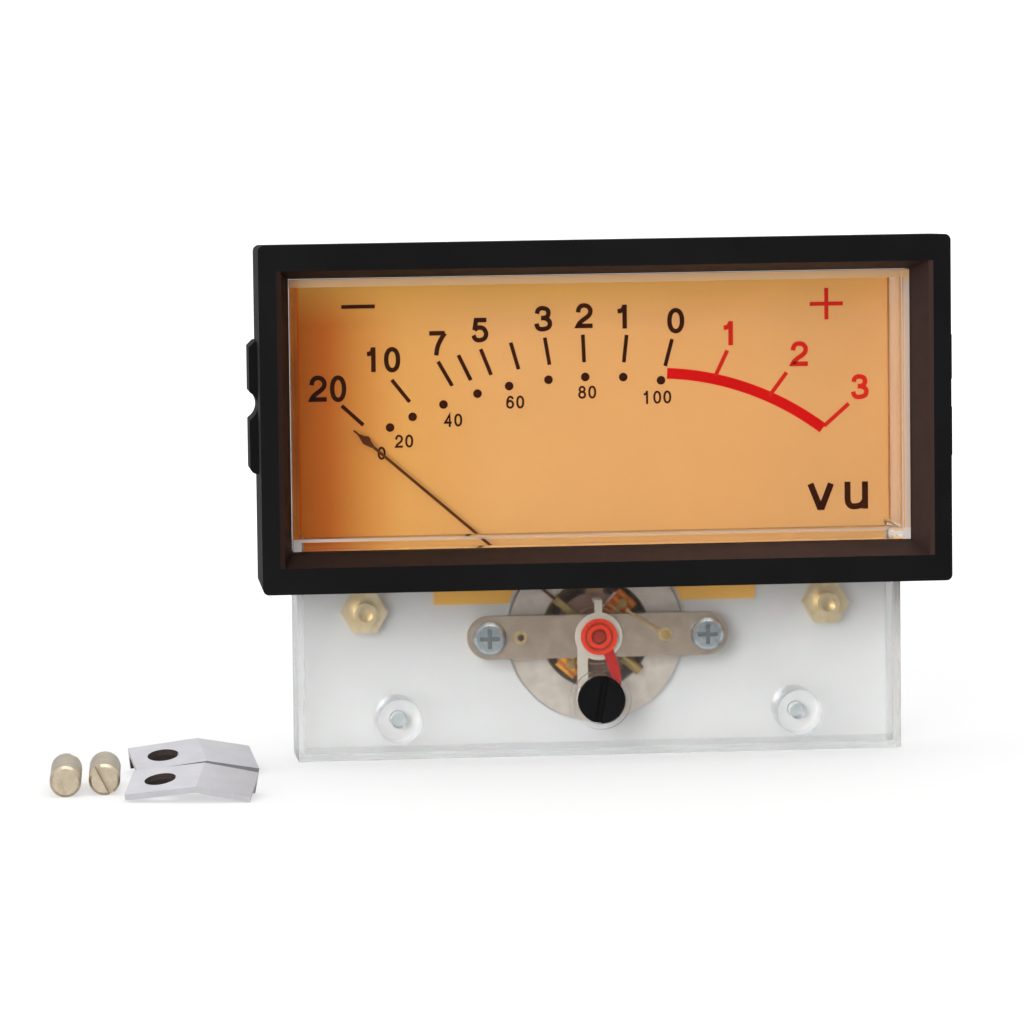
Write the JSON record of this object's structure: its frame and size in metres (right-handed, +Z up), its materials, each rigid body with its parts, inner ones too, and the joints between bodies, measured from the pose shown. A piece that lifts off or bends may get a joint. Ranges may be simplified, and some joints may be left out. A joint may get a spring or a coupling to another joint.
{
  "type": "analog panel meter",
  "caption": "Audio level panel meter with a wide black bezel, an amber dial, a moving-coil movement in a clear lower case and a slotted zero adjuster.",
  "frame": {"origin": "middle of the flat bottom face that the case stands on", "axes": "+X to the right of someone who reads the dial, +Y from the dial to the back, +Z up"},
  "size_m": [0.1194, 0.0588, 0.0685],
  "materials": {
    "black_plastic": "satin",
    "clear_plastic": "gloss",
    "white_plastic": "satin",
    "dial_amber": "satin",
    "bridge_nickel": "satin",
    "screw_zinc": "satin",
    "spacer_brass": "satin",
    "terminal_brass": "satin",
    "tinned_metal": "satin",
    "insulator_brown": "matte",
    "red_lacquer": "gloss",
    "lever_cream": "satin",
    "jewel_glass": "gloss",
    "spring_bronze": "satin",
    "soft_iron": "satin",
    "magnet_alloy": "satin",
    "cradle_aluminium": "satin",
    "coil_copper": "gloss",
    "pointer_dark": "satin",
    "adjuster_black": "satin",
    "lamp_glass": "gloss",
    "lamp_base": "satin",
    "screw_brass": "satin",
    "clip_steel": "gloss"
  },
  "bodies": {
    "case": {"bezel": "black_plastic", "front_cover": "clear_plastic", "rear_base": "white_plastic", "dial_plate": "dial_amber", "case_screws": "screw_zinc", "front_bridge": "bridge_nickel", "bridge_screws": "screw_zinc", "bridge_spacers": "spacer_brass", "spacer_screws": "screw_zinc", "insulating_washer": "insulator_brown", "bridge_rivets": "spacer_brass", "front_jewel_screw": "red_lacquer", "front_jewel": "jewel_glass", "friction_washer": "spring_bronze", "rear_jewel": "jewel_glass", "rear_jewel_screw": "spacer_brass", "rear_lock_nut": "screw_zinc", "yoke_ring": "soft_iron", "core_magnet": "magnet_alloy", "core_cradle": "cradle_aluminium", "cradle_screws": "screw_zinc", "cradle_washer": "spacer_brass", "hairspring_rear": "spring_bronze", "lead_wire": "spring_bronze", "stop_pins": "spacer_brass", "terminal_stud_left": "terminal_brass", "terminal_stud_right": "terminal_brass", "terminal_inner_nuts": "terminal_brass", "terminal_clamp_nuts": "terminal_brass", "terminal_washers": "tinned_metal", "terminal_outer_nuts": "terminal_brass", "solder_lugs": "tinned_metal", "link_strip_left": "terminal_brass", "link_strip_right": "terminal_brass", "lamp_bulbs": "lamp_glass", "lamp_holders": "lamp_base", "lamp_pins": "tinned_metal"},
    "needle": {"coil_former": "cradle_aluminium", "coil_winding": "coil_copper", "front_staff": "spacer_brass", "rear_staff": "spacer_brass", "spring_collets": "spacer_brass", "pointer": "pointer_dark", "balance_cross": "spacer_brass", "balance_weights": "spacer_brass"},
    "lever": {"zero_lever": "lever_cream", "lever_red_leg": "red_lacquer", "hairspring_front": "spring_bronze"},
    "adjuster": {"zero_adjuster": "adjuster_black", "adjuster_clip": "screw_zinc"},
    "loose_screw_left": {"set_screw_left": "screw_brass"},
    "loose_screw_right": {"set_screw_right": "screw_brass"},
    "loose_clip_front": {"mounting_clip_front": "clip_steel"},
    "loose_clip_rear": {"mounting_clip_rear": "clip_steel"}
  },
  "joints": [
    {"name": "needle_swing", "type": "hinge", "parent": "lever", "child": "needle", "pos_m": [0, 0, 0.0155], "axis": [0, 1, 0], "range_deg": [-3, 98.5], "stiffness_Nm_per_rad": 0.000015},
    {"name": "zero_screw_turn", "type": "hinge", "parent": "case", "child": "adjuster", "pos_m": [0, 0, 0.0074], "axis": [0, 1, 0], "range_deg": [-30, 30]},
    {"name": "zero_lever_swing", "type": "hinge", "parent": "case", "child": "lever", "pos_m": [0, 0, 0.0155], "axis": [0, 1, 0], "range_deg": [-4.8, 4.8]},
    {"name": "set_screw_left_lift", "type": "slide", "parent": "case", "child": "loose_screw_left", "axis": [0, 0, 1], "range_m": [0, 0.015]},
    {"name": "set_screw_right_lift", "type": "slide", "parent": "case", "child": "loose_screw_right", "axis": [0, 0, 1], "range_m": [0, 0.015]},
    {"name": "clip_front_lift", "type": "slide", "parent": "case", "child": "loose_clip_front", "axis": [0, 0, 1], "range_m": [0, 0.015]},
    {"name": "clip_rear_lift", "type": "slide", "parent": "case", "child": "loose_clip_rear", "axis": [0, 0, 1], "range_m": [0, 0.015]}
  ],
  "couplings": [
    {"joint": "zero_lever_swing", "follows": "zero_screw_turn", "ratio": -0.15714}
  ]
}
